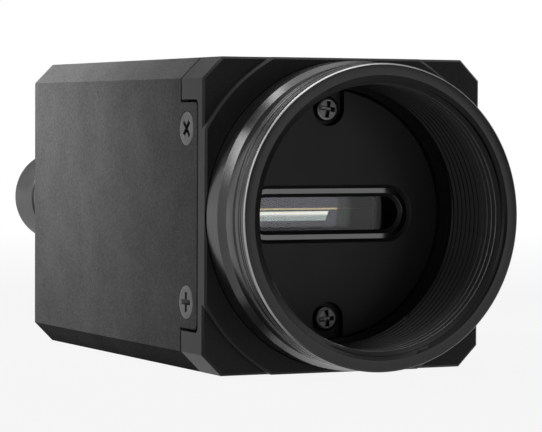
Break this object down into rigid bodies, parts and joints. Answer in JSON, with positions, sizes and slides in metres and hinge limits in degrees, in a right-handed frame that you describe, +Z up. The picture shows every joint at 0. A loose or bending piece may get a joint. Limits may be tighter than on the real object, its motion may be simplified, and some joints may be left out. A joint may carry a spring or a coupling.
{
  "type": "machine vision line-scan camera",
  "caption": "Small square line-scan camera with a threaded lens mount ring, slot window over the sensor, and network and round connectors behind.",
  "frame": {"origin": "middle of the camera's bounding box seen from above, on the flat underside", "axes": "+Z up; the lens looks along -Y; +X is to the right for a viewer who stands in front of the lens, so the round connector is at -X"},
  "size_m": [0.0292, 0.0604, 0.0296],
  "materials": {
    "front_metal": "matt black anodised, mount ring turned",
    "housing_metal": "fine-grained matt dark grey coating",
    "rear_metal": "matt black anodised",
    "spreader_metal": "mill",
    "screw_steel": "blackened steel",
    "inner_steel": "zinc plated",
    "connector_metal": "satin nickel",
    "contact_gold": "gold plated",
    "window_glass": "coated optical glass",
    "sensor_silicon": "polished silicon with metal lines",
    "ceramic": "dark sintered ceramic",
    "circuit_board": "solder mask",
    "chip_plastic": "moulded",
    "connector_plastic": "moulded",
    "seal_rubber": "matt",
    "pad_silicone": "matt",
    "light_plastic": "clear, diffusing"
  },
  "bodies": {
    "root": {"front_frame": "front_metal", "housing": "housing_metal", "side_screws_left": "screw_steel", "side_screws_right": "screw_steel", "window_plate": "front_metal", "window_plate_screws": "screw_steel", "window_glass": "window_glass", "dust_seal": "seal_rubber", "sensor_cover_glass": "window_glass", "sensor_package": "ceramic", "sensor_die": "sensor_silicon", "sensor_board": "circuit_board", "front_standoffs": "inner_steel", "front_board_connector": "connector_plastic", "processor_board": "circuit_board", "processor_chip": "chip_plastic", "memory_chips": "chip_plastic", "thermal_pad": "pad_silicone", "heat_spreader": "spreader_metal", "middle_standoffs": "inner_steel", "rear_board_connector": "connector_plastic", "interface_board": "circuit_board", "network_chip": "chip_plastic", "rear_standoffs": "inner_steel", "rear_cover": "rear_metal", "rear_cover_screws": "screw_steel", "io_connector_shell": "connector_metal", "io_connector_insert": "connector_plastic", "io_connector_pins": "contact_gold", "io_connector_nut": "connector_metal", "io_header": "connector_plastic", "network_jack_shell": "connector_metal", "network_jack_body": "connector_plastic", "network_jack_contacts": "contact_gold", "status_light": "light_plastic", "status_led": "light_plastic"}
  },
  "joints": []
}
